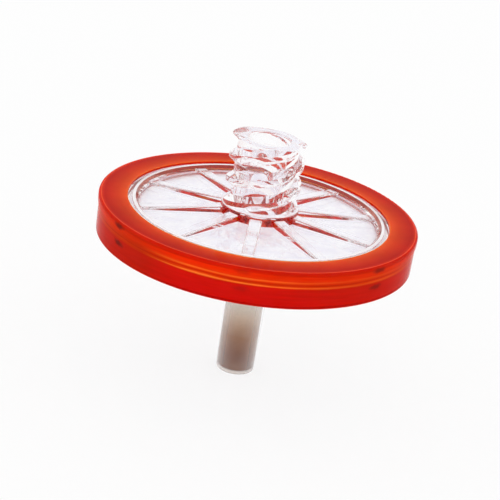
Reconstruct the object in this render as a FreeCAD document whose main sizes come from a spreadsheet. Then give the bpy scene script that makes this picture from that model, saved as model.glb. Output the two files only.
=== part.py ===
# Syringe filter: a 33 mm disc filter with a female luer lock inlet above and a male luer slip outlet below.
# Two clear moulded housing halves meet on a flat parting plane and clamp the membrane between them.
# A coloured ring, moulded round both flanges, holds them together and seals the joint.
# Millimetres. Each piece is drawn with the parting plane at height 0 and is then lowered, so that the
# origin is the centre of the inlet's mouth, with +Z pointing out of it.

import FreeCAD, Part
import Sketcher
import math
import os
import re

Vector = FreeCAD.Vector

# Driving dimensions, each set by itself.
DIMENSIONS = [
    # disc and coloured ring
    ("disc_radius", 16.5),
    ("ring_wall", 1.0),
    ("ring_top", 1.8),
    ("ring_bottom", 2.0),
    ("ring_draft", 0.05),
    ("ring_edge_radius", 0.25),
    ("lip_height", 0.8),
    ("lip_step", 0.1),
    ("lip_edge_radius", 0.07),
    ("seam", 0.02),
    # flanges held in the ring, and the clear ledge inside it: a low strip, then a raised bead
    ("flange_width", 1.98),
    ("flange_edge_radius", 0.1),
    ("inlet_flange", 0.65),
    ("outlet_flange", 0.85),
    ("stud_count", 7),
    ("stud_radius", 0.7),
    ("stud_depth", 0.25),
    ("ledge_width", 0.82),
    ("ledge_drop", 0.1),
    ("ledge_edge_radius", 0.08),
    ("bead_width", 0.36),
    ("strip_drop", 0.25),
    # recessed plates and their stiffening ribs
    ("recess_depth", 0.55),
    ("recess_rise", 0.15),
    ("recess_wall_draft", 0.42),
    ("rib_count", 10),
    ("rib_width", 1.3),
    ("rib_drop", 0.33),
    ("rib_rise", 0.58),
    ("rib_root", 0.25),
    ("rib_edge_radius", 0.18),
    # membrane, the space above it and the grooved support below it
    ("membrane_inset", 0.25),
    ("membrane_thickness", 0.15),
    ("seat_gap", 0.1),
    ("clamp_width", 0.9),
    ("chamber_height", 0.25),
    ("groove_depth", 0.35),
    ("groove_width", 0.6),
    ("groove_pitch", 1.2),
    ("drain_count", 10),
    ("drain_width", 0.7),
    ("collector_radius", 2.2),
    # inlet: female luer lock
    ("port_height", 7.6),
    ("mouth_radius", 2.15),
    ("port_wall", 1.05),
    ("mouth_edge_radius", 0.2),
    ("socket_depth", 7.9),
    ("luer_slope", 0.03),
    ("inlet_bore_radius", 1.0),
    ("inlet_flare", 0.4),
    ("thread_starts", 2),
    ("thread_lead", 5.0),
    ("thread_depth", 0.67),
    ("thread_crest_width", 0.5),
    ("thread_root_width", 1.6),
    ("thread_angle", 13.4),
    ("hub_margin", 0.13),
    ("hub_height", 0.6),
    ("hub_edge_radius", 0.1),
    # outlet: male luer slip
    ("outlet_length", 14.3),
    ("tip_radius", 1.97),
    ("tip_edge_radius", 0.25),
    ("outlet_bore_radius", 1.25),
    ("bore_chamfer", 0.25),
    ("boss_step", 1.025),
    ("boss_height", 0.8),
    ("boss_edge_radius", 0.3),
    ("boss_fillet", 0.6),
]

# Sizes and heights that follow from them. Heights are above the parting plane.
DERIVED = [
    ("flange_radius", "disc_radius - ring_wall"),
    ("collar_radius", "flange_radius - flange_width"),
    ("ring_inner", "collar_radius + seam"),
    ("ring_seat_top", "inlet_flange + seam"),
    ("ring_seat_foot", "-outlet_flange - seam"),
    ("stud_circle", "(collar_radius + flange_radius) / 2"),
    ("stud_recess_radius", "stud_radius + seam"),
    ("ledge_inner", "collar_radius - ledge_width"),
    ("bead_outer", "ledge_inner + bead_width"),
    ("recess_radius", "ledge_inner - recess_wall_draft"),
    ("membrane_radius", "collar_radius - membrane_inset"),
    ("seat_radius", "membrane_radius + seat_gap"),
    ("chamber_radius", "membrane_radius - clamp_width"),
    ("ring_foot", "-ring_bottom"),
    ("lip_foot", "ring_top - lip_height"),
    ("inlet_face", "seam / 2"),
    ("outlet_face", "-seam / 2"),
    ("membrane_foot", "outlet_face - membrane_thickness"),
    ("support_top", "membrane_foot - seam"),
    ("groove_floor", "support_top - groove_depth"),
    ("inlet_ledge", "ring_top - ledge_drop"),
    ("inlet_strip", "ring_top - strip_drop"),
    ("inlet_floor", "ring_top - recess_depth"),
    ("inlet_floor_at_hub", "inlet_floor + recess_rise"),
    ("inlet_rib_at_edge", "ring_top - rib_drop"),
    ("inlet_rib_at_hub", "inlet_rib_at_edge + rib_rise"),
    ("port_radius", "mouth_radius + port_wall"),
    ("thread_crest_radius", "port_radius + thread_depth"),
    ("hub_radius", "thread_crest_radius + hub_margin"),
    ("hub_top", "ring_top + hub_height"),
    ("port_mouth", "ring_top + port_height"),
    ("socket_floor", "port_mouth - socket_depth"),
    ("socket_end_radius", "mouth_radius - luer_slope * socket_depth"),
    ("thread_middle_radius", "(port_radius + thread_crest_radius) / 2"),
    ("thread_step", "360 / thread_starts"),
    ("crest_half_angle", "180 * thread_crest_width / thread_lead"),
    ("root_half_angle", "180 * thread_root_width / thread_lead"),
    ("outlet_flange_foot", "-outlet_flange"),
    ("outlet_ledge", "ledge_drop - ring_bottom"),
    ("outlet_floor", "recess_depth - ring_bottom"),
    ("outlet_floor_at_boss", "outlet_floor - recess_rise"),
    ("outlet_rib_at_edge", "rib_drop - ring_bottom"),
    ("outlet_rib_at_boss", "outlet_rib_at_edge - rib_rise"),
    ("boss_end", "-ring_bottom - boss_height"),
    ("outlet_tip", "-ring_bottom - outlet_length"),
    ("stem_radius", "tip_radius + luer_slope * (outlet_length - boss_height)"),
    ("boss_radius", "stem_radius + boss_step"),
]

doc = FreeCAD.newDocument("syringe_filter")
sheet = doc.addObject("Spreadsheet::Sheet", "Dims")


def fill_sheet():
    """Give each size one row: its name, its value or formula, and the alias that the model uses."""
    rows = [(alias, str(value)) for alias, value in DIMENSIONS]
    rows += [(alias, "=" + formula) for alias, formula in DERIVED]
    for row, (alias, text) in enumerate(rows, 1):
        sheet.set(f"A{row}", alias)
        sheet.set(f"B{row}", text)
        sheet.setAlias(f"B{row}", alias)
    doc.recompute()


def size(alias):
    """Read one value of the sheet."""
    return float(sheet.get(alias))


def bound(formula):
    """Turn the plain names in a formula into references to the sheet."""
    aliases = {alias for alias, _ in DIMENSIONS + DERIVED}
    return re.sub(r"\w+", lambda word: f"Dims.{word[0]}" if word[0] in aliases else word[0], formula)


def new_body(name):
    """Start the body of one piece, lowered so that the inlet's mouth lies at the origin."""
    body = doc.addObject("PartDesign::Body", name)
    body.Label = name
    body.setExpression(".Placement.Base.z", bound("-port_mouth"))
    return body


def origin_feature(body, role):
    """Find one of the body's own origin planes or axes."""
    return next(feature for feature in body.Origin.OriginFeatures if feature.Role == role)


def new_sketch(body, name, role):
    """Attach an empty sketch to one of the body's origin planes."""
    sketch = body.newObject("Sketcher::SketchObject", name)
    sketch.AttachmentSupport = (origin_feature(body, role), [""])
    sketch.MapMode = "FlatFace"
    return sketch


def tie_point(sketch, item, formulas, place, end=1):
    """Tie the start of a sketch's line, arc or point (or with end=2, its end) to two formulas."""
    for kind, formula, value in zip(("DistanceX", "DistanceY"), formulas, place):
        number = sketch.addConstraint(Sketcher.Constraint(kind, -1, 1, item, end, value))
        sketch.setExpression(f"Constraints[{number}]", formula)


def add_loop(sketch, corners):
    """Draw one closed outline of straight lines, with each corner tied to the sheet."""
    first = sketch.GeometryCount
    formulas = [(bound(across), bound(up)) for across, up in corners]
    places = [Vector(*(float(sketch.evalExpression(formula)) for formula in pair), 0) for pair in formulas]
    for start, end in zip(places, places[1:] + places[:1]):
        sketch.addGeometry(Part.LineSegment(start, end))
    for i in range(len(corners)):
        following = (i + 1) % len(corners)
        sketch.addConstraint(Sketcher.Constraint("Coincident", first + i, 2, first + following, 1))
        tie_point(sketch, first + i, formulas[i], places[i])


def finish_feature(body, feature, cuts):
    """Recompute, and stop if a feature that should cut took nothing off, or one that adds put nothing on."""
    before = feature.BaseFeature.Shape.Volume if feature.BaseFeature else 0
    doc.recompute()
    change = feature.Shape.Volume - before
    if (change < 0) != cuts:
        raise RuntimeError(f"{feature.Name} in {body.Label} changed the volume by {change}")
    return feature


def turned(body, kind, name, *outlines):
    """Revolve outlines of radius and height about the axis: a Revolution adds them, a Groove cuts them."""
    sketch = new_sketch(body, name + "_section", "XZ_Plane")
    for corners in outlines:
        add_loop(sketch, corners)
    feature = body.newObject("PartDesign::" + kind, name)
    feature.Profile = sketch
    feature.ReferenceAxis = (sketch, ["V_Axis"])
    feature.Angle = 360
    return finish_feature(body, feature, kind == "Groove")


def bar(body, kind, name, width, corners):
    """Draw a radial bar from the side, in radius and height: a Pad adds it, a Pocket cuts it."""
    sketch = new_sketch(body, name + "_section", "YZ_Plane")
    add_loop(sketch, corners)
    feature = body.newObject("PartDesign::" + kind, name)
    feature.Profile = sketch
    feature.Midplane = True
    feature.setExpression("Length", bound(width))
    return finish_feature(body, feature, kind == "Pocket")


def locking_spots(body, kind, name, radius, level, upward):
    """Repeat a round spot about the axis: a Pad makes the ring's studs, a Pocket the flanges' recesses."""
    sketch = new_sketch(body, name + "_section", "XY_Plane")
    sketch.setExpression(".AttachmentOffset.Base.z", bound(level))
    centre = Vector(0, -size("stud_circle"), 0)
    sketch.addGeometry(Part.Circle(centre, Vector(0, 0, 1), size(radius)))
    tie_point(sketch, 0, ("0", bound("-stud_circle")), centre, 3)
    number = sketch.addConstraint(Sketcher.Constraint("Radius", 0, size(radius)))
    sketch.setExpression(f"Constraints[{number}]", bound(radius))
    feature = body.newObject("PartDesign::" + kind, name)
    feature.Profile = sketch
    feature.Reversed = upward == (kind == "Pocket")
    feature.setExpression("Length", bound("stud_depth"))
    finish_feature(body, feature, kind == "Pocket")
    return repeated(body, feature, name + "s", "stud_count")


def repeated(body, feature, name, occurrences):
    """Repeat a feature evenly about the axis, and make the pattern the tip of its body."""
    pattern = body.newObject("PartDesign::PolarPattern", name)
    pattern.Originals = [feature]
    pattern.Axis = (origin_feature(body, "Z_Axis"), [""])
    pattern.Angle = 360
    pattern.setExpression("Occurrences", bound(occurrences))
    body.Tip = pattern
    doc.recompute()
    return pattern


def rims(feature, *places):
    """Name the circular edges about the axis at the given radii and heights."""
    wanted = [(size(radius), size(height)) for radius, height in places]
    found = []
    for number, edge in enumerate(feature.Shape.Edges, 1):
        if isinstance(edge.Curve, Part.Circle):
            here = (edge.Curve.Radius, edge.Curve.Center.z)
            if any(math.dist(here, place) < 1e-4 for place in wanted):
                found.append(f"Edge{number}")
    return found


def bar_tops(feature, first, second):
    """Name the straight edges whose middles lie between two heights: the ribs' long outer edges."""
    low, high = sorted((size(first), size(second)))
    found = []
    for number, edge in enumerate(feature.Shape.Edges, 1):
        straight = isinstance(edge.Curve, Part.Line)
        if straight and low < edge.CenterOfMass.z < high and edge.Length > size("ledge_width") * 2:
            found.append(f"Edge{number}")
    return found


def rounded(body, feature, name, radius, edges):
    """Round the named edges of a feature."""
    fillet = body.newObject("PartDesign::Fillet", name)
    fillet.Base = (feature, edges)
    fillet.setExpression("Radius", bound(radius))
    doc.recompute()
    return fillet


def add_arcs(sketch, arcs):
    """Draw one closed outline of arcs, each given by the radius and angle of its start and of its middle."""
    formulas = []
    for radius, angle in [place for arc in arcs for place in arc]:
        formulas.append((bound(f"{radius} * cos({angle})"), bound(f"{radius} * sin({angle})")))
    places = [Vector(*(float(sketch.evalExpression(formula)) for formula in pair), 0) for pair in formulas]
    for i in range(len(arcs)):
        start, middle, end = (places[(2 * i + step) % len(places)] for step in range(3))
        sketch.addGeometry(Part.Arc(start, middle, end))
    for i in range(len(arcs)):
        middle = sketch.addGeometry(Part.Point(places[2 * i + 1]), True)
        sketch.addConstraint(Sketcher.Constraint("Coincident", i, 2, (i + 1) % len(arcs), 1))
        sketch.addConstraint(Sketcher.Constraint("PointOnObject", middle, 1, i))
        tie_point(sketch, i, formulas[2 * i], places[2 * i])
        tie_point(sketch, middle, formulas[2 * i + 1], places[2 * i + 1])


def threaded_port(body):
    """Port and thread in one: the section across both starts, swept up the axis and turned by a helix."""
    section = new_sketch(body, "port_section", "XY_Plane")
    section.setExpression(".AttachmentOffset.Base.z", bound("hub_top"))
    arcs = []
    for start in range(int(size("thread_starts"))):
        crest = f"thread_angle + {start} * thread_step"
        arcs += [
            [("port_radius", f"{crest} - root_half_angle"),
             ("thread_middle_radius", f"{crest} - (root_half_angle + crest_half_angle) / 2")],
            [("thread_crest_radius", f"{crest} - crest_half_angle"), ("thread_crest_radius", crest)],
            [("thread_crest_radius", f"{crest} + crest_half_angle"),
             ("thread_middle_radius", f"{crest} + (root_half_angle + crest_half_angle) / 2")],
            [("port_radius", f"{crest} + root_half_angle"), ("port_radius", f"{crest} + thread_step / 2")],
        ]
    add_arcs(section, arcs)
    axis = new_sketch(body, "port_axis", "XZ_Plane")
    axis.addGeometry(Part.LineSegment(Vector(0, size("hub_top"), 0), Vector(0, size("port_mouth"), 0)))
    tie_point(axis, 0, ("0", bound("hub_top")), Vector(0, size("hub_top"), 0))
    tie_point(axis, 0, ("0", bound("port_mouth")), Vector(0, size("port_mouth"), 0), 2)
    helix = doc.addObject("Part::Helix", "thread_helix")
    helix.setExpression("Pitch", bound("thread_lead"))
    helix.setExpression("Height", bound("port_mouth - hub_top"))
    helix.setExpression("Radius", bound("thread_crest_radius"))
    helix.setExpression(".Placement.Base.z", bound("hub_top - port_mouth"))
    guide = body.newObject("PartDesign::SubShapeBinder", "thread_guide")
    guide.Support = [(helix, ("",))]
    doc.recompute()
    port = body.newObject("PartDesign::AdditivePipe", "threaded_port")
    port.Profile = section
    port.Spine = (axis, ["Edge1"])
    port.Mode = "Auxiliary"
    port.AuxiliarySpine = (guide, [f"Edge{number}" for number in range(1, len(guide.Shape.Edges) + 1)])
    port.AuxiliaryCurvilinear = False
    return finish_feature(body, port, False)


def inlet_housing():
    """Upper half: flange, beaded ledge, ribbed plate, hub and threaded port, then the socket and bore."""
    body = new_body("inlet_housing")
    turned(body, "Revolution", "inlet_shell", [
        ("0", "chamber_height"),
        ("chamber_radius", "chamber_height"),
        ("chamber_radius", "inlet_face"),
        ("flange_radius", "inlet_face"),
        ("flange_radius", "inlet_flange"),
        ("collar_radius", "inlet_flange"),
        ("collar_radius", "inlet_strip"),
        ("bead_outer", "inlet_strip"),
        ("bead_outer", "inlet_ledge"),
        ("ledge_inner", "inlet_ledge"),
        ("recess_radius", "inlet_floor"),
        ("hub_radius", "inlet_floor_at_hub"),
        ("hub_radius", "hub_top"),
        ("0", "hub_top"),
    ])
    rib = bar(body, "Pad", "inlet_rib", "rib_width", [
        ("port_radius", "inlet_floor - rib_root"),
        ("ledge_inner + ledge_width / 2", "inlet_floor - rib_root"),
        ("ledge_inner + ledge_width / 2", "inlet_rib_at_edge"),
        ("ledge_inner", "inlet_rib_at_edge"),
        ("hub_radius", "inlet_rib_at_hub"),
        ("port_radius", "inlet_rib_at_hub"),
    ])
    ribs = repeated(body, rib, "inlet_ribs", "rib_count")
    rib_edges = bar_tops(ribs, "inlet_floor_at_hub", "inlet_rib_at_hub")
    soft = rounded(body, ribs, "inlet_rib_edges", "rib_edge_radius", rib_edges)
    ledge_edge = rims(soft, ("ledge_inner", "inlet_ledge"), ("bead_outer", "inlet_ledge"))
    soft = rounded(body, soft, "inlet_ledge_edge", "ledge_edge_radius", ledge_edge)
    soft = rounded(body, soft, "hub_edge", "hub_edge_radius", rims(soft, ("hub_radius", "hub_top")))
    flange_edge = rims(soft, ("flange_radius", "inlet_flange"))
    rounded(body, soft, "inlet_flange_edge", "flange_edge_radius", flange_edge)
    locking_spots(body, "Pocket", "upper_recess", "stud_recess_radius", "inlet_flange", False)
    threaded_port(body)
    socket = turned(body, "Groove", "socket", [
        ("0", "port_mouth"),
        ("mouth_radius", "port_mouth"),
        ("socket_end_radius", "socket_floor"),
        ("inlet_bore_radius", "socket_floor"),
        ("inlet_bore_radius", "chamber_height + inlet_flare"),
        ("inlet_bore_radius + inlet_flare", "chamber_height"),
        ("0", "chamber_height"),
    ])
    rounded(body, socket, "mouth_edge", "mouth_edge_radius", rims(socket, ("mouth_radius", "port_mouth")))
    return body


def outlet_housing():
    """Lower half: membrane seat and grooved support above, ribbed plate, boss and luer slip stem below."""
    body = new_body("outlet_housing")
    turned(body, "Revolution", "outlet_shell", [
        ("0", "support_top"),
        ("seat_radius", "support_top"),
        ("seat_radius", "outlet_face"),
        ("flange_radius", "outlet_face"),
        ("flange_radius", "outlet_flange_foot"),
        ("collar_radius", "outlet_flange_foot"),
        ("collar_radius", "outlet_ledge"),
        ("ledge_inner", "outlet_ledge"),
        ("recess_radius", "outlet_floor"),
        ("boss_radius", "outlet_floor_at_boss"),
        ("boss_radius", "boss_end"),
        ("stem_radius", "boss_end"),
        ("tip_radius", "outlet_tip"),
        ("0", "outlet_tip"),
    ])
    rib = bar(body, "Pad", "outlet_rib", "rib_width", [
        ("stem_radius", "outlet_floor + rib_root"),
        ("ledge_inner + ledge_width / 2", "outlet_floor + rib_root"),
        ("ledge_inner + ledge_width / 2", "outlet_rib_at_edge"),
        ("ledge_inner", "outlet_rib_at_edge"),
        ("boss_radius", "outlet_rib_at_boss"),
        ("stem_radius", "outlet_rib_at_boss"),
    ])
    ribs = repeated(body, rib, "outlet_ribs", "rib_count")
    rib_edges = bar_tops(ribs, "outlet_floor_at_boss", "outlet_rib_at_boss")
    soft = rounded(body, ribs, "outlet_rib_edges", "rib_edge_radius", rib_edges)
    ledge_edge = rims(soft, ("ledge_inner", "outlet_ledge"))
    soft = rounded(body, soft, "outlet_ledge_edge", "ledge_edge_radius", ledge_edge)
    soft = rounded(body, soft, "boss_edge", "boss_edge_radius", rims(soft, ("boss_radius", "boss_end")))
    soft = rounded(body, soft, "stem_fillet", "boss_fillet", rims(soft, ("stem_radius", "boss_end")))
    soft = rounded(body, soft, "tip_edge", "tip_edge_radius", rims(soft, ("tip_radius", "outlet_tip")))
    flange_edge = rims(soft, ("flange_radius", "outlet_flange_foot"))
    rounded(body, soft, "outlet_flange_edge", "flange_edge_radius", flange_edge)
    locking_spots(body, "Pocket", "lower_recess", "stud_recess_radius", "outlet_flange_foot", True)
    groove_count = int((size("chamber_radius") - size("collector_radius")) // size("groove_pitch"))
    bore = [
        ("0", "outlet_face"),
        ("collector_radius", "outlet_face"),
        ("collector_radius", "groove_floor"),
        ("outlet_bore_radius", "groove_floor"),
        ("outlet_bore_radius", "outlet_tip + bore_chamfer"),
        ("outlet_bore_radius + bore_chamfer", "outlet_tip"),
        ("0", "outlet_tip"),
    ]
    grooves = [groove_outline(f"collector_radius + {i} * groove_pitch") for i in range(1, groove_count + 1)]
    turned(body, "Groove", "bore_and_grooves", bore, *grooves)
    drain = bar(body, "Pocket", "drain", "drain_width", [
        ("collector_radius / 2", "groove_floor"),
        ("chamber_radius", "groove_floor"),
        ("chamber_radius", "outlet_face"),
        ("collector_radius / 2", "outlet_face"),
    ])
    repeated(body, drain, "drains", "drain_count")
    return body


def groove_outline(outer):
    """Section of one ring groove in the membrane support, given its outer radius."""
    return [
        (f"{outer} - groove_width", "groove_floor"),
        (outer, "groove_floor"),
        (outer, "outlet_face"),
        (f"{outer} - groove_width", "outlet_face"),
    ]


def membrane():
    """Filter membrane: a thin disc on the support, with its rim clamped between the halves."""
    body = new_body("membrane")
    turned(body, "Revolution", "disc", [
        ("0", "membrane_foot"),
        ("membrane_radius", "membrane_foot"),
        ("membrane_radius", "outlet_face"),
        ("0", "outlet_face"),
    ])
    return body


def overmould_ring():
    """Coloured ring of C section round both flanges, with a lip at the top and locking studs inside."""
    body = new_body("overmould_ring")
    ring = turned(body, "Revolution", "ring_section_turned", [
        ("ring_inner", "ring_top"),
        ("ring_inner", "ring_seat_top"),
        ("flange_radius + seam", "ring_seat_top"),
        ("flange_radius + seam", "ring_seat_foot"),
        ("ring_inner", "ring_seat_foot"),
        ("ring_inner", "ring_foot"),
        ("disc_radius - lip_step - ring_draft", "ring_foot"),
        ("disc_radius - lip_step", "lip_foot"),
        ("disc_radius", "lip_foot"),
        ("disc_radius", "ring_top"),
    ])
    soft = rounded(body, ring, "ring_edge", "ring_edge_radius", rims(ring, ("disc_radius", "ring_top")))
    rounded(body, soft, "lip_edge", "lip_edge_radius", rims(soft, ("disc_radius", "lip_foot")))
    locking_spots(body, "Pad", "upper_stud", "stud_radius", "ring_seat_top", False)
    locking_spots(body, "Pad", "lower_stud", "stud_radius", "ring_seat_foot", True)
    return body


def check_document(pieces):
    """Stop if any object failed to build, or a piece isn't one valid solid."""
    for item in doc.Objects:
        if "Invalid" in item.State or "Error" in item.State:
            raise RuntimeError(f"{item.Name} is {item.State}")
    for piece in pieces:
        shape = piece.Shape
        if shape.isNull() or not shape.isValid() or len(shape.Solids) != 1:
            raise RuntimeError(f"{piece.Label} isn't one valid solid")


fill_sheet()
pieces = [inlet_housing(), outlet_housing(), membrane(), overmould_ring()]
doc.recompute()
check_document(pieces)
os.makedirs("parts", exist_ok=True)
for piece in pieces:
    piece.Shape.exportStep(f"parts/{piece.Label}.step")
    print(piece.Label, f"{piece.Shape.Volume:.2f} mm3")
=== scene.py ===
# Disc syringe filter on a white table: clear ribbed housings, a white membrane and a translucent red ring.
# Metres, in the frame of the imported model: the origin is the centre of the inlet's mouth, and +Z points out of it.
import math

import bpy
from mathutils import Matrix, Vector


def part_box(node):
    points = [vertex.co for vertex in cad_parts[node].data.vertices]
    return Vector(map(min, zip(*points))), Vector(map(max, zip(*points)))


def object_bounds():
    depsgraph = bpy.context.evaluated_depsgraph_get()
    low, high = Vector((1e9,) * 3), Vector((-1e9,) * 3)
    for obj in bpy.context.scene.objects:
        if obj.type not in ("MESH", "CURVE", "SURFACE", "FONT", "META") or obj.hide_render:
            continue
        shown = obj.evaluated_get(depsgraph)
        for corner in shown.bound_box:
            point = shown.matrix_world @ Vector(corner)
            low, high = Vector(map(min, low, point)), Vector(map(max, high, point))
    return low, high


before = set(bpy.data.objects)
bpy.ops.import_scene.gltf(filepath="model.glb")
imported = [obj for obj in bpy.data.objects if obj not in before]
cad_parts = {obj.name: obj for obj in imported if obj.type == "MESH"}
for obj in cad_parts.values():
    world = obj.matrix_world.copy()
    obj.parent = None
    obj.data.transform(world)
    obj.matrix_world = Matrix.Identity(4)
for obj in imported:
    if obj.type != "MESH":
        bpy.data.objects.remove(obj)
cad_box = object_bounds()
scene = bpy.context.scene


# Filter membrane
# A disc of porous polymer cast on a fibre web, laid on the lower housing and clamped round its rim.
# It is matt and very white, with a faint cool mottling where the web lies under the surface.
MM = 0.001
MEMBRANE_WHITE = "#fefeff"
MEMBRANE_SHADE = "#f0eef8"
FIBRE_GRAIN = 0.35 * MM
MOTTLE_GRAIN = 1.6 * MM
WEB_CONTRAST = (0.15, 0.35)
WEB_RELIEF = 0.02 * MM


def colour(hex_value):
    """Turn an sRGB hex value into linear red, green, blue and alpha."""
    channels = [int(hex_value[i:i + 2], 16) / 255 for i in (1, 3, 5)]
    return (*((c / 12.92 if c <= 0.04045 else ((c + 0.055) / 1.055) ** 2.4) for c in channels), 1)


def node(tree, kind, settings=(), **links):
    """Add a node, set its properties, and set or link its inputs, named by their labels or as in_0, in_1."""
    made = tree.nodes.new(kind)
    for name, value in dict(settings).items():
        setattr(made, name, value)
    for name, value in links.items():
        label = name.replace("_", " ")
        socket = made.inputs[int(name[3:])] if name.startswith("in_") else made.inputs[label]
        if isinstance(value, bpy.types.NodeSocket):
            tree.links.new(value, socket)
        else:
            socket.default_value = value
    return made


def new_material(name):
    """Start an empty material that uses nodes."""
    material = bpy.data.materials.new(name)
    material.use_nodes = True
    material.node_tree.nodes.clear()
    return material, material.node_tree


def finish_material(tree, surface):
    """Lead the surface to the material's output."""
    node(tree, "ShaderNodeOutputMaterial", Surface=surface)


# Cast microporous polymer: chalk white and matt, because its pores scatter nearly all the light. The pores and
# the fibres of the web are too fine to show, so the web is drawn at FIBRE_GRAIN, many times coarser.
membrane_cast, tree = new_material("cast_microporous_membrane")
place = node(tree, "ShaderNodeTexCoord").outputs["Object"]
fibres = node(tree, "ShaderNodeTexNoise", Vector=place, Scale=1 / FIBRE_GRAIN, Detail=3.0, Roughness=0.6)
mottle = node(tree, "ShaderNodeTexNoise", Vector=place, Scale=1 / MOTTLE_GRAIN, Detail=2.0)
web = node(tree, "ShaderNodeMath", {"operation": "MULTIPLY"}, in_0=fibres.outputs[0], in_1=mottle.outputs[0])
tone = node(tree, "ShaderNodeMapRange", Value=web.outputs[0], From_Min=WEB_CONTRAST[0], From_Max=WEB_CONTRAST[1])
shade = node(tree, "ShaderNodeMix", {"data_type": "RGBA"}, in_0=tone.outputs[0],
             in_6=colour(MEMBRANE_SHADE), in_7=colour(MEMBRANE_WHITE))
relief = node(tree, "ShaderNodeBump", Height=fibres.outputs[0], Strength=0.3, Distance=WEB_RELIEF)
matt = node(tree, "ShaderNodeBsdfPrincipled", Base_Color=shade.outputs[2], Roughness=0.85, IOR=1.4,
            Normal=relief.outputs[0])
finish_material(tree, matt.outputs[0])
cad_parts["membrane"].data.materials[0] = membrane_cast


# Inlet housing
# The upper half, injection moulded in one piece from clear modified acrylic: flange, ribbed plate and the
# port with its luer thread. The ring that is moulded round its edge holds it.
ACRYLIC_CLEAR = "#fefeff"
ACRYLIC_IOR = 1.49
FLOW_MARK = 2.5 * MM
FLOW_RELIEF = 0.02 * MM
POLISH_DULLEST = 0.04

# Places on the moulding: each is a radius and half a width, or a level and half a height.
ring_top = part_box("overmould_ring")[1][2]
PLATE_LEVEL = ring_top - 0.56 * MM
BEAD_PLACE = (12.88 * MM, 0.16 * MM)
# The bead's matt white line is a painted highlight.
BEAD_MATT_HIGHLIGHT = 0.7
WALL_PLACE = (12.58 * MM, 0.13 * MM)
WALL_MATT = 0.4
# A painted reflection: the ring's red put on the clear wall inside the bead, and below on the foot of the hub.
WALL_PAINTED_REFLECTION = "#a83c28"
HUB_PLACE = (3.95 * MM, 0.12 * MM)
HUB_FOOT = (ring_top - 0.05 * MM, 0.45 * MM)
HUB_PAINTED_REFLECTION = "#b01408"


def reach_from_axis(tree, place):
    """Distance of each point from the filter's axis."""
    flat = node(tree, "ShaderNodeVectorMath", {"operation": "MULTIPLY"}, in_0=place, in_1=(1, 1, 0))
    return node(tree, "ShaderNodeVectorMath", {"operation": "LENGTH"}, in_0=flat.outputs[0]).outputs["Value"]


# Polished moulded acrylic: clear as glass, with faint flow marks that make the edges of things behind it waver.
# The bead round the plate is part matt and shows a white line as a painted highlight. The wall inside the bead
# and the foot of the hub are tinted red as a painted reflection of the ring's red in the clear moulding.
acrylic_clear, tree = new_material("moulded_clear_acrylic")
place = node(tree, "ShaderNodeTexCoord").outputs["Object"]
flow = node(tree, "ShaderNodeTexNoise", Vector=place, Scale=1 / FLOW_MARK, Detail=1.0)
ripple = node(tree, "ShaderNodeBump", Height=flow.outputs[0], Strength=0.2, Distance=FLOW_RELIEF)
polish = node(tree, "ShaderNodeMapRange", Value=flow.outputs[0], To_Min=0.0, To_Max=POLISH_DULLEST)
reach = reach_from_axis(tree, place)
up = node(tree, "ShaderNodeSeparateXYZ", Vector=place).outputs[2]
on_top = node(tree, "ShaderNodeMath", {"operation": "GREATER_THAN"}, in_0=up, in_1=PLATE_LEVEL)
on_bead = node(tree, "ShaderNodeMath", {"operation": "COMPARE"}, in_0=reach, in_1=BEAD_PLACE[0], in_2=BEAD_PLACE[1])
on_bead = node(tree, "ShaderNodeMath", {"operation": "MULTIPLY"}, in_0=on_bead.outputs[0], in_1=on_top.outputs[0])
on_wall = node(tree, "ShaderNodeMath", {"operation": "COMPARE"}, in_0=reach, in_1=WALL_PLACE[0], in_2=WALL_PLACE[1])
on_wall = node(tree, "ShaderNodeMath", {"operation": "MULTIPLY"}, in_0=on_wall.outputs[0], in_1=on_top.outputs[0])
hub_side = node(tree, "ShaderNodeMath", {"operation": "COMPARE"}, in_0=reach, in_1=HUB_PLACE[0], in_2=HUB_PLACE[1])
hub_foot = node(tree, "ShaderNodeMath", {"operation": "COMPARE"}, in_0=up, in_1=HUB_FOOT[0], in_2=HUB_FOOT[1])
on_hub = node(tree, "ShaderNodeMath", {"operation": "MULTIPLY"}, in_0=hub_side.outputs[0], in_1=hub_foot.outputs[0])
# Painted reflection of the ring's red on the wall inside the bead and on the hub's foot.
tone_with_painted_light = node(tree, "ShaderNodeMix", {"data_type": "RGBA"}, in_0=on_wall.outputs[0],
              in_6=colour(ACRYLIC_CLEAR), in_7=colour(WALL_PAINTED_REFLECTION))
tone_with_painted_light = node(tree, "ShaderNodeMix", {"data_type": "RGBA"}, in_0=on_hub.outputs[0],
              in_6=tone_with_painted_light.outputs[2], in_7=colour(HUB_PAINTED_REFLECTION))
clearness = node(tree, "ShaderNodeMath", {"operation": "MULTIPLY_ADD"}, in_0=on_bead.outputs[0], in_1=-BEAD_MATT_HIGHLIGHT,
                 in_2=1.0)
clearness = node(tree, "ShaderNodeMath", {"operation": "MULTIPLY_ADD"}, in_0=on_wall.outputs[0], in_1=-WALL_MATT,
                 in_2=clearness.outputs[0])
clear = node(tree, "ShaderNodeBsdfPrincipled", Base_Color=tone_with_painted_light.outputs[2], Roughness=polish.outputs[0],
             IOR=ACRYLIC_IOR, Transmission_Weight=clearness.outputs[0], Normal=ripple.outputs[0])
finish_material(tree, clear.outputs[0])
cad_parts["inlet_housing"].data.materials[0] = acrylic_clear


# Outlet housing
# The lower half, moulded from the same clear acrylic: flange, ribbed underside and the luer slip stem.
# Its long stem is painted brown towards the tip, as painted shade, and has a fine grain from the mould.
STEM_SHADED_LENGTH = 13.5 * MM
STEM_FADE = 0.6 * MM
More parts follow.
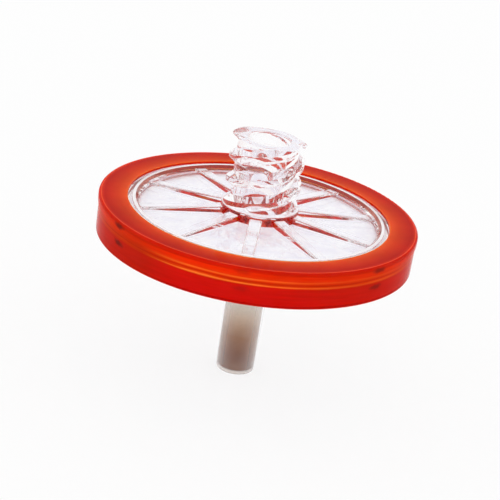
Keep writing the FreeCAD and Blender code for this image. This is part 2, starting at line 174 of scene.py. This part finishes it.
# Painted shade, brown and darker towards the tip, with a painted highlight at the very foot.
STEM_PAINTED_SHADE = [(0.0, "#fff8f0"), (0.014, "#fff8f0"), (0.024, "#5c2c18"), (0.1, "#7c4428"), (0.3, "#a07048"),
              (0.47, "#d0bca8"), (0.55, "#d6cec2"), (0.8, "#f0eeea"), (1.0, "#fefeff")]
BORE_REACH = 1.6 * MM
BORE_EDGE = 0.1 * MM
BORE_FROST = 0.8
MOULD_GRAIN = 0.22 * MM
GRAIN_CONTRAST = (0.3, 0.7)
GRAIN_TONES = (0.9, 1.05)


def shade_ramp(tree, value, stops, unit=1.0):
    """Colour ramp over a value in the given unit, from (value, colour) stops."""
    first, last = stops[0][0], stops[-1][0]
    share = node(tree, "ShaderNodeMapRange", Value=value, From_Min=first * unit, From_Max=last * unit)
    made = node(tree, "ShaderNodeValToRGB", Fac=share.outputs[0])
    elements = made.color_ramp.elements
    elements.remove(elements[1])
    for spot, tone in stops:
        stop = elements[0] if spot == first else elements.new((spot - first) / (last - first))
        stop.color = colour(tone)
    return made.outputs[0]


# Moulded acrylic, clear outside. The wall of the bore carries painted shade: nearly clear under the disc, brown near
# the tip, and pale at the very foot as a painted highlight. The bore is frosted, so the stem looks milky. The
# grain of the mould is too fine to show, and is drawn as coarse as MOULD_GRAIN.
stem_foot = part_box("outlet_housing")[0][2]
stem_head = stem_foot + STEM_SHADED_LENGTH
acrylic_painted_shade, tree = new_material("moulded_clear_acrylic_painted_shade")
place = node(tree, "ShaderNodeTexCoord").outputs["Object"]
up = node(tree, "ShaderNodeSeparateXYZ", Vector=place).outputs[2]
climb = node(tree, "ShaderNodeMapRange", Value=up, From_Min=stem_foot, From_Max=stem_head)
stem_painted_shade = shade_ramp(tree, climb.outputs[0], STEM_PAINTED_SHADE)
grain = node(tree, "ShaderNodeTexNoise", Vector=place, Scale=1 / MOULD_GRAIN, Detail=2.0)
speck = node(tree, "ShaderNodeMapRange", Value=grain.outputs[0], From_Min=GRAIN_CONTRAST[0],
             From_Max=GRAIN_CONTRAST[1], To_Min=GRAIN_TONES[0], To_Max=GRAIN_TONES[1])
grainy = node(tree, "ShaderNodeVectorMath", {"operation": "SCALE"}, in_0=stem_painted_shade, Scale=speck.outputs[0])
reach = reach_from_axis(tree, place)
on_bore = node(tree, "ShaderNodeMapRange", Value=reach, From_Min=BORE_REACH, From_Max=BORE_REACH - BORE_EDGE)
on_stem = node(tree, "ShaderNodeMapRange", Value=up, From_Min=stem_head - STEM_FADE, From_Max=stem_head,
               To_Min=1.0, To_Max=0.0)
inside = node(tree, "ShaderNodeMath", {"operation": "MULTIPLY"}, in_0=on_bore.outputs[0], in_1=on_stem.outputs[0])
tone_with_painted_light = node(tree, "ShaderNodeMix", {"data_type": "RGBA"}, in_0=inside.outputs[0],
              in_6=colour(ACRYLIC_CLEAR), in_7=grainy.outputs[0])
frost = node(tree, "ShaderNodeMath", {"operation": "MULTIPLY"}, in_0=inside.outputs[0], in_1=BORE_FROST)
shaded_stem = node(tree, "ShaderNodeBsdfPrincipled", Base_Color=tone_with_painted_light.outputs[2], Roughness=frost.outputs[0],
              IOR=ACRYLIC_IOR, Transmission_Weight=1.0)
finish_material(tree, shaded_stem.outputs[0])
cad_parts["outlet_housing"].data.materials[0] = acrylic_painted_shade


# Overmoulded ring
# A ring of translucent red polypropylene, moulded round the edges of both halves to hold and seal them.
# Its upper wall has a painted orange glow, for light from the clear flanges; the solid part below stays deep red.

# Reds of the wall by depth under the ring's top, and of the flat top by distance from the axis, in millimetres.
# The wall's brighter upper band is painted glow; its darker reds at the top edge, at 1.33 and at the bottom edge are
# painted shade. On the flat top the orange near the inner edge is painted glow, and the pale line at 16.25 is a
# painted highlight.
WALL_REDS_PAINTED_LIGHT = [(0.0, "#c01c0a"), (0.28, "#d02008"), (0.42, "#e82e06"), (0.92, "#ec3408"), (1.25, "#dc3408"),
             (1.33, "#c42408"), (1.43, "#e03c08"), (1.7, "#d8300a"), (1.78, "#d01810"), (3.45, "#cc1410"),
             (3.62, "#940c08"), (3.9, "#6c0808")]
TOP_REDS_PAINTED_LIGHT = [(13.4, "#e45c24"), (13.8, "#d84618"), (14.5, "#c8320e"), (15.1, "#c0260c"), (15.85, "#b0180a"),
            (16.14, "#bc240e"), (16.25, "#e04a2c"), (16.32, "#bc1a0a"), (16.5, "#b8180a")]
TOP_EDGE = 0.1 * MM
STREAK_LENGTH = 5.0 * MM
STREAK_HEIGHT = 0.35 * MM
STREAK_DRIFT = 0.24 * MM
STREAK_CONTRAST = (0.3, 0.7)
STREAK_TONES = (0.9, 1.08)
# How far red, green and blue light run into the plastic, in millimetres.
LIGHT_RUN = (2.0, 0.5, 0.12)

# The two bright lines where the flanges end inside the ring, by depth, and the patches in which they fade, are painted
# glow. Where they fade, the wall is darkened with painted shade. GLOW_TURN brings a bright painted patch to the front,
# which is -Y.
GLOW_LINES = [(0.9, "#000000"), (1.06, "#d0d0d0"), (1.2, "#000000"), (1.46, "#000000"), (1.59, "#ffffff"),
              (1.7, "#000000")]
GLOW_ORANGE = "#ff8a30"
GLOW_PATCH = 18.0 * MM
GLOW_TURN = math.radians(90)
GLOW_CONTRAST = (0.38, 0.6)
WALL_PAINTED_SHADE = "#9c2410"
WALL_SHADE_DEEPEST = 0.45

# The studs that key the ring to the flanges: pairs round the wall, one above and one below the seam. A stud's
# shadow is a half width and half a height, and STUD_EDGE is where its blotted rim starts and ends, in those.
STUD_PAIRS = 7
STUD_PITCH = math.radians(360 / STUD_PAIRS)
SEAM_DEPTH = 1.3 * MM
STUD_FROM_SEAM = 0.9 * MM
STUD_SHADOW = (0.9 * MM, 0.3 * MM)
STUD_BLOT = 0.5 * MM
STUD_EDGE = (1.7, 0.9)
STUD_DARKEST = 0.9
STUD_VEILED = 0.3
STUD_BROWN = "#701c14"

# Moulded translucent polypropylene: light runs a little way into it, so its edges glow, and the melt that
# flowed round the disc has left streaks a few millimetres long. Its gloss hardly shows. The studs show through
# as soft brown shadows, fainter where the wall glows.
red_plastic, tree = new_material("moulded_red_polypropylene")
place = node(tree, "ShaderNodeTexCoord").outputs["Object"]
axes = node(tree, "ShaderNodeSeparateXYZ", Vector=place)
reach = reach_from_axis(tree, place)
depth = node(tree, "ShaderNodeMath", {"operation": "SUBTRACT"}, in_0=ring_top, in_1=axes.outputs[2])

# Wall: reds by depth, pushed up and down by the streaks, with the painted glow lines laid over them and the painted
# shade where they fade.
drawn_out = node(tree, "ShaderNodeVectorMath", {"operation": "MULTIPLY"}, in_0=place,
                 in_1=(1 / STREAK_LENGTH, 1 / STREAK_LENGTH, 1 / STREAK_HEIGHT))
streaks = node(tree, "ShaderNodeTexNoise", Vector=drawn_out.outputs[0], Scale=1.0, Detail=3.0, Roughness=0.55)
waver = node(tree, "ShaderNodeMath", {"operation": "SUBTRACT"}, in_0=streaks.outputs[0], in_1=0.5)
drift = node(tree, "ShaderNodeMath", {"operation": "MULTIPLY_ADD"}, in_0=waver.outputs[0], in_1=STREAK_DRIFT,
             in_2=depth.outputs[0])
wall = shade_ramp(tree, drift.outputs[0], WALL_REDS_PAINTED_LIGHT, MM)
lines = shade_ramp(tree, drift.outputs[0], GLOW_LINES, MM)
turned = node(tree, "ShaderNodeVectorRotate", {"rotation_type": "Z_AXIS"}, Vector=place, Angle=GLOW_TURN)
fading = node(tree, "ShaderNodeTexNoise", Vector=turned.outputs[0], Scale=1 / GLOW_PATCH, Detail=0.0)
fading = node(tree, "ShaderNodeMapRange", Value=fading.outputs[0], From_Min=GLOW_CONTRAST[0],
              From_Max=GLOW_CONTRAST[1])
glow = node(tree, "ShaderNodeMath", {"operation": "MULTIPLY"}, in_0=lines, in_1=fading.outputs[0])
wall = node(tree, "ShaderNodeMix", {"data_type": "RGBA"}, in_0=glow.outputs[0], in_6=wall,
            in_7=colour(GLOW_ORANGE))
# Painted shade: the wall darkens where the painted glow fades.
wall_shade = node(tree, "ShaderNodeMapRange", Value=fading.outputs[0], To_Min=WALL_SHADE_DEEPEST, To_Max=0.0)
wall = node(tree, "ShaderNodeMix", {"data_type": "RGBA"}, in_0=wall_shade.outputs[0], in_6=wall.outputs[2],
            in_7=colour(WALL_PAINTED_SHADE))

# Flat top: reds by distance from the axis, with their painted glow and painted highlight.
top = shade_ramp(tree, reach, TOP_REDS_PAINTED_LIGHT, MM)
on_top = node(tree, "ShaderNodeMapRange", Value=depth.outputs[0], From_Min=TOP_EDGE, From_Max=0.0)
body = node(tree, "ShaderNodeMix", {"data_type": "RGBA"}, in_0=on_top.outputs[0], in_6=wall.outputs[2], in_7=top)

# Studs: a blotted oval round each one, measured along the wall and away from the seam.
forward = node(tree, "ShaderNodeMath", {"operation": "MULTIPLY"}, in_0=axes.outputs[1], in_1=-1.0)
turn = node(tree, "ShaderNodeMath", {"operation": "ARCTAN2"}, in_0=axes.outputs[0], in_1=forward.outputs[0])
turn = node(tree, "ShaderNodeMath", {"operation": "WRAP"}, in_0=turn.outputs[0], in_1=STUD_PITCH / 2,
            in_2=-STUD_PITCH / 2)
along = node(tree, "ShaderNodeMath", {"operation": "MULTIPLY"}, in_0=turn.outputs[0], in_1=reach)
from_seam = node(tree, "ShaderNodeMath", {"operation": "SUBTRACT"}, in_0=depth.outputs[0], in_1=SEAM_DEPTH)
from_seam = node(tree, "ShaderNodeMath", {"operation": "ABSOLUTE"}, in_0=from_seam.outputs[0])
spot = node(tree, "ShaderNodeCombineXYZ", X=along.outputs[0], Y=from_seam.outputs[0])
spot = node(tree, "ShaderNodeVectorMath", {"operation": "SUBTRACT"}, in_0=spot.outputs[0],
            in_1=(0, STUD_FROM_SEAM, 0))
spot = node(tree, "ShaderNodeVectorMath", {"operation": "MULTIPLY"}, in_0=spot.outputs[0],
            in_1=(1 / STUD_SHADOW[0], 1 / STUD_SHADOW[1], 0))
spot = node(tree, "ShaderNodeVectorMath", {"operation": "LENGTH"}, in_0=spot.outputs[0])
blot = node(tree, "ShaderNodeTexNoise", Vector=place, Scale=1 / STUD_BLOT, Detail=2.0)
edge = node(tree, "ShaderNodeMath", {"operation": "ADD"}, in_0=spot.outputs["Value"], in_1=blot.outputs[0])
dusk = node(tree, "ShaderNodeMapRange", Value=edge.outputs[0], From_Min=STUD_EDGE[0], From_Max=STUD_EDGE[1],
            To_Min=0.0, To_Max=STUD_DARKEST)
off_top = node(tree, "ShaderNodeMath", {"operation": "SUBTRACT"}, in_0=1.0, in_1=on_top.outputs[0])
dusk = node(tree, "ShaderNodeMath", {"operation": "MULTIPLY"}, in_0=dusk.outputs[0], in_1=off_top.outputs[0])
veil = node(tree, "ShaderNodeMapRange", Value=fading.outputs[0], To_Min=1.0, To_Max=STUD_VEILED)
dusk = node(tree, "ShaderNodeMath", {"operation": "MULTIPLY"}, in_0=dusk.outputs[0], in_1=veil.outputs[0])
body = node(tree, "ShaderNodeMix", {"data_type": "RGBA"}, in_0=dusk.outputs[0], in_6=body.outputs[2],
            in_7=colour(STUD_BROWN))

# All over: the streaks lighten and darken it, and light spreads inside it everywhere but at the studs.
tone = node(tree, "ShaderNodeMapRange", Value=streaks.outputs[0], From_Min=STREAK_CONTRAST[0],
            From_Max=STREAK_CONTRAST[1], To_Min=STREAK_TONES[0], To_Max=STREAK_TONES[1])
streaky = node(tree, "ShaderNodeVectorMath", {"operation": "SCALE"}, in_0=body.outputs[2], Scale=tone.outputs[0])
spread = node(tree, "ShaderNodeMath", {"operation": "SUBTRACT"}, in_0=1.0, in_1=dusk.outputs[0])
red = node(tree, "ShaderNodeBsdfPrincipled", Base_Color=streaky.outputs[0], Roughness=0.12, IOR=1.5,
           Specular_IOR_Level=0.01, Subsurface_Weight=spread.outputs[0],
           Subsurface_Radius=LIGHT_RUN, Subsurface_Scale=MM)
finish_material(tree, red.outputs[0])
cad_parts["overmould_ring"].data.materials[0] = red_plastic


# Table
# A wide table top, painted matt white, just under the tip of the stem. It takes the filter's soft shadow.
# Part of its white is a glow that shows to the eye, in gloss and through clear plastic, but lights nothing matt.
TABLE_GAP = 0.02 * MM
TABLE_HALF = 20.0
TABLE_WHITE = "#f8f8f8"
TABLE_GLOW = "#ffffff"
TABLE_GLOW_SHARE = 0.8

table_z = cad_box[0][2] - TABLE_GAP
corners = [(-TABLE_HALF, -TABLE_HALF), (TABLE_HALF, -TABLE_HALF), (TABLE_HALF, TABLE_HALF), (-TABLE_HALF, TABLE_HALF)]
table_mesh = bpy.data.meshes.new("table_top")
table_mesh.from_pydata([(*corner, table_z) for corner in corners], [], [(0, 1, 2, 3)])
table = bpy.data.objects.new("table_top", table_mesh)
scene.collection.objects.link(table)

# White emulsion paint: quite matt, so it shows no reflection.
painted_white, tree = new_material("painted_white_table")
paint = node(tree, "ShaderNodeBsdfDiffuse", Color=colour(TABLE_WHITE))
glow = node(tree, "ShaderNodeEmission", Color=colour(TABLE_GLOW), Strength=1.0)
path = node(tree, "ShaderNodeLightPath")
seen = node(tree, "ShaderNodeMath", {"operation": "MAXIMUM"}, in_0=path.outputs["Is Camera Ray"],
            in_1=path.outputs["Is Transmission Ray"])
seen = node(tree, "ShaderNodeMath", {"operation": "MAXIMUM"}, in_0=seen.outputs[0], in_1=path.outputs["Is Glossy Ray"])
share = node(tree, "ShaderNodeMath", {"operation": "MULTIPLY"}, in_0=seen.outputs[0], in_1=TABLE_GLOW_SHARE)
surface = node(tree, "ShaderNodeMixShader", Fac=share.outputs[0], in_1=paint.outputs[0], in_2=glow.outputs[0])
finish_material(tree, surface.outputs[0])
table_mesh.materials.append(painted_white)


# Room
# A pale studio with plain white walls all round. They light the filter evenly from every side, so its shadow on
# the table is faint.
ROOM_WHITE = "#ffffff"

room = bpy.data.worlds.new("pale_room")
scene.world = room
room.use_nodes = True
tree = room.node_tree
tree.nodes.clear()
walls = node(tree, "ShaderNodeBackground", Color=colour(ROOM_WHITE), Strength=1.0)
node(tree, "ShaderNodeOutputWorld", Surface=walls.outputs[0])


# Camera
# A long lens that looks down on the disc, rolled so that the filter leans to the right. It aims at a point
# close to the axis, nearly halfway down the filter.
CAMERA_ELEVATION = math.radians(21.75)
CAMERA_SIDE = math.radians(2.2)
CAMERA_ROLL = math.radians(8.83)
CAMERA_DISTANCE = 203.6 * MM
CAMERA_VIEW = math.radians(14.46)
CAMERA_NEAREST = 10 * MM
AIM_SIDE = -0.28 * MM
AIM_HEIGHT = -12.27 * MM

right = Vector((math.cos(CAMERA_SIDE), math.sin(CAMERA_SIDE), 0))
towards = Vector((math.sin(CAMERA_SIDE), -math.cos(CAMERA_SIDE), 0))
aim = right * AIM_SIDE + Vector((0, 0, AIM_HEIGHT))
eye = aim + CAMERA_DISTANCE * (towards * math.cos(CAMERA_ELEVATION) + Vector((0, 0, math.sin(CAMERA_ELEVATION))))
camera_data = bpy.data.cameras.new("camera")
camera_data.angle = CAMERA_VIEW
camera_data.clip_start = CAMERA_NEAREST
camera = bpy.data.objects.new("camera", camera_data)
scene.collection.objects.link(camera)
look = (aim - eye).to_track_quat("-Z", "Y").to_matrix().to_4x4()
camera.matrix_world = Matrix.Translation(eye) @ look @ Matrix.Rotation(CAMERA_ROLL, 4, "Z")
scene.camera = camera

# Light crosses many clear surfaces before it reaches the membrane, so the paths are long and stay sharp.
CLEAR_CROSSINGS = 128
MATT_BOUNCES = 16
scene.cycles.max_bounces = CLEAR_CROSSINGS
scene.cycles.transmission_bounces = CLEAR_CROSSINGS
scene.cycles.glossy_bounces = CLEAR_CROSSINGS
scene.cycles.diffuse_bounces = MATT_BOUNCES
scene.cycles.blur_glossy = 0.0
scene.view_settings.view_transform = "Standard"
